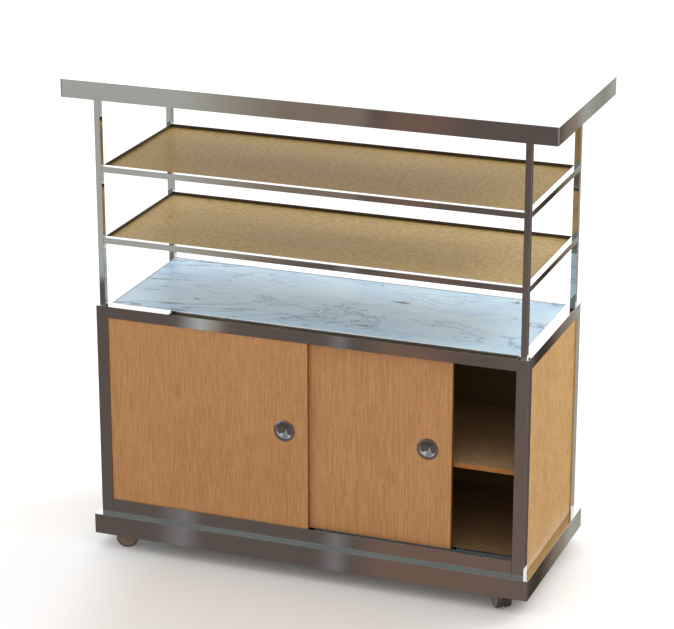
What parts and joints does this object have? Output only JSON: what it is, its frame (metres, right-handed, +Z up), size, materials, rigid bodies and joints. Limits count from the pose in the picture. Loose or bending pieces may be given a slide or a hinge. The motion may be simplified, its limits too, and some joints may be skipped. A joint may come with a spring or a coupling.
{
  "type": "mobile bar",
  "caption": "Bar on swivel castors: steel-framed oak cabinet with sliding doors and round recessed pulls, marble counter, open shelf gantry and a thick polished steel bar top.",
  "frame": {"origin": "on the floor, under the middle of the cabinet's footprint", "axes": "+Z up, +X to the right as seen from the front, +Y towards the back; the doors face -Y"},
  "size_m": [1.672, 0.67, 1.65],
  "materials": {
    "polished_steel": "mirror-polished stainless steel with faint hairlines",
    "dark_steel": "dark powder-coated steel",
    "oak": "warm oak veneer, satin lacquer",
    "plywood": "bare plywood",
    "bright_fastener": "zinc-plated steel",
    "pull_steel": "polished stainless steel",
    "nylon": "black nylon",
    "marble": "polished white marble with grey veins",
    "castor_body": "brown moulded nylon",
    "castor_wheel": "soft dark tyre on a brown moulded hub"
  },
  "bodies": {
    "base": {"stile_front_left": "polished_steel", "stile_front_right": "polished_steel", "stile_back_left": "polished_steel", "stile_back_right": "polished_steel", "header_rail": "polished_steel", "sill_rail": "polished_steel", "back_top_rail": "polished_steel", "side_top_rail_left": "polished_steel", "side_top_rail_right": "polished_steel", "side_panel_left": "oak", "side_panel_right": "oak", "back_panel": "oak", "cabinet_floor": "oak", "floor_bearers": "plywood", "inner_shelf": "oak", "shelf_pegs": "bright_fastener", "counter_bars": "dark_steel", "counter_board": "plywood", "marble_counter": "marble", "skirt_front": "polished_steel", "skirt_back": "polished_steel", "skirt_left": "polished_steel", "skirt_right": "polished_steel", "chassis_frame": "dark_steel", "castor_plates": "dark_steel", "castor_bolts": "bright_fastener", "post_front_left": "polished_steel", "post_front_right": "polished_steel", "post_back_left": "polished_steel", "post_back_right": "polished_steel", "lower_shelf_frame": "polished_steel", "lower_shelf_panel": "oak", "upper_shelf_frame": "polished_steel", "upper_shelf_panel": "oak", "bar_top_tray": "polished_steel", "bar_top_board": "plywood", "bar_top_ribs": "plywood", "bar_top_bolts": "bright_fastener"},
    "door_left": {"door_left": "oak", "pull_left": "pull_steel", "door_left_glides": "nylon"},
    "door_right": {"door_right": "oak", "pull_right": "pull_steel", "door_right_glides": "nylon"},
    "castor_front_left_swivel": {"castor_front_left_housing": "castor_body", "castor_front_left_axle": "bright_fastener"},
    "castor_front_left_wheel_1": {"castor_front_left_wheel_1": "castor_wheel"},
    "castor_front_left_wheel_2": {"castor_front_left_wheel_2": "castor_wheel"},
    "castor_front_right_swivel": {"castor_front_right_housing": "castor_body", "castor_front_right_axle": "bright_fastener"},
    "castor_front_right_wheel_1": {"castor_front_right_wheel_1": "castor_wheel"},
    "castor_front_right_wheel_2": {"castor_front_right_wheel_2": "castor_wheel"},
    "castor_back_left_swivel": {"castor_back_left_housing": "castor_body", "castor_back_left_axle": "bright_fastener"},
    "castor_back_left_wheel_1": {"castor_back_left_wheel_1": "castor_wheel"},
    "castor_back_left_wheel_2": {"castor_back_left_wheel_2": "castor_wheel"},
    "castor_back_right_swivel": {"castor_back_right_housing": "castor_body", "castor_back_right_axle": "bright_fastener"},
    "castor_back_right_wheel_1": {"castor_back_right_wheel_1": "castor_wheel"},
    "castor_back_right_wheel_2": {"castor_back_right_wheel_2": "castor_wheel"}
  },
  "joints": [
    {"name": "door_left_slide", "type": "slide", "parent": "base", "child": "door_left", "axis": [1, 0, 0], "range_m": [0, 0.707]},
    {"name": "door_right_slide", "type": "slide", "parent": "base", "child": "door_right", "axis": [1, 0, 0], "range_m": [-0.491, 0.216]},
    {"name": "castor_front_left_swivel_turn", "type": "hinge", "parent": "base", "child": "castor_front_left_swivel", "pos_m": [-0.655, -0.25, 0.09], "axis": [0, 0, 1], "continuous": true},
    {"name": "castor_front_left_wheel_1_spin", "type": "hinge", "parent": "castor_front_left_swivel", "child": "castor_front_left_wheel_1", "pos_m": [-0.67675, -0.26014, 0.0375], "axis": [0.4226, -0.9063, 0], "continuous": true},
    {"name": "castor_front_left_wheel_2_spin", "type": "hinge", "parent": "castor_front_left_swivel", "child": "castor_front_left_wheel_2", "pos_m": [-0.67675, -0.26014, 0.0375], "axis": [0.4226, -0.9063, 0], "continuous": true},
    {"name": "castor_front_right_swivel_turn", "type": "hinge", "parent": "base", "child": "castor_front_right_swivel", "pos_m": [0.655, -0.25, 0.09], "axis": [0, 0, 1], "continuous": true},
    {"name": "castor_front_right_wheel_1_spin", "type": "hinge", "parent": "castor_front_right_swivel", "child": "castor_front_right_wheel_1", "pos_m": [0.66877, -0.26966, 0.0375], "axis": [0.8192, 0.5736, 0], "continuous": true},
    {"name": "castor_front_right_wheel_2_spin", "type": "hinge", "parent": "castor_front_right_swivel", "child": "castor_front_right_wheel_2", "pos_m": [0.66877, -0.26966, 0.0375], "axis": [0.8192, 0.5736, 0], "continuous": true},
    {"name": "castor_back_left_swivel_turn", "type": "hinge", "parent": "base", "child": "castor_back_left_swivel", "pos_m": [-0.655, 0.25, 0.09], "axis": [0, 0, 1], "continuous": true},
    {"name": "castor_back_left_wheel_1_spin", "type": "hinge", "parent": "castor_back_left_swivel", "child": "castor_back_left_wheel_1", "pos_m": [-0.667, 0.27078, 0.0375], "axis": [-0.866, -0.5, 0], "continuous": true},
    {"name": "castor_back_left_wheel_2_spin", "type": "hinge", "parent": "castor_back_left_swivel", "child": "castor_back_left_wheel_2", "pos_m": [-0.667, 0.27078, 0.0375], "axis": [-0.866, -0.5, 0], "continuous": true},
    {"name": "castor_back_right_swivel_turn", "type": "hinge", "parent": "base", "child": "castor_back_right_swivel", "pos_m": [0.655, 0.25, 0.09], "axis": [0, 0, 1], "continuous": true},
    {"name": "castor_back_right_wheel_1_spin", "type": "hinge", "parent": "castor_back_right_swivel", "child": "castor_back_right_wheel_1", "pos_m": [0.67339, 0.26543, 0.0375], "axis": [-0.6428, 0.766, 0], "continuous": true},
    {"name": "castor_back_right_wheel_2_spin", "type": "hinge", "parent": "castor_back_right_swivel", "child": "castor_back_right_wheel_2", "pos_m": [0.67339, 0.26543, 0.0375], "axis": [-0.6428, 0.766, 0], "continuous": true}
  ]
}
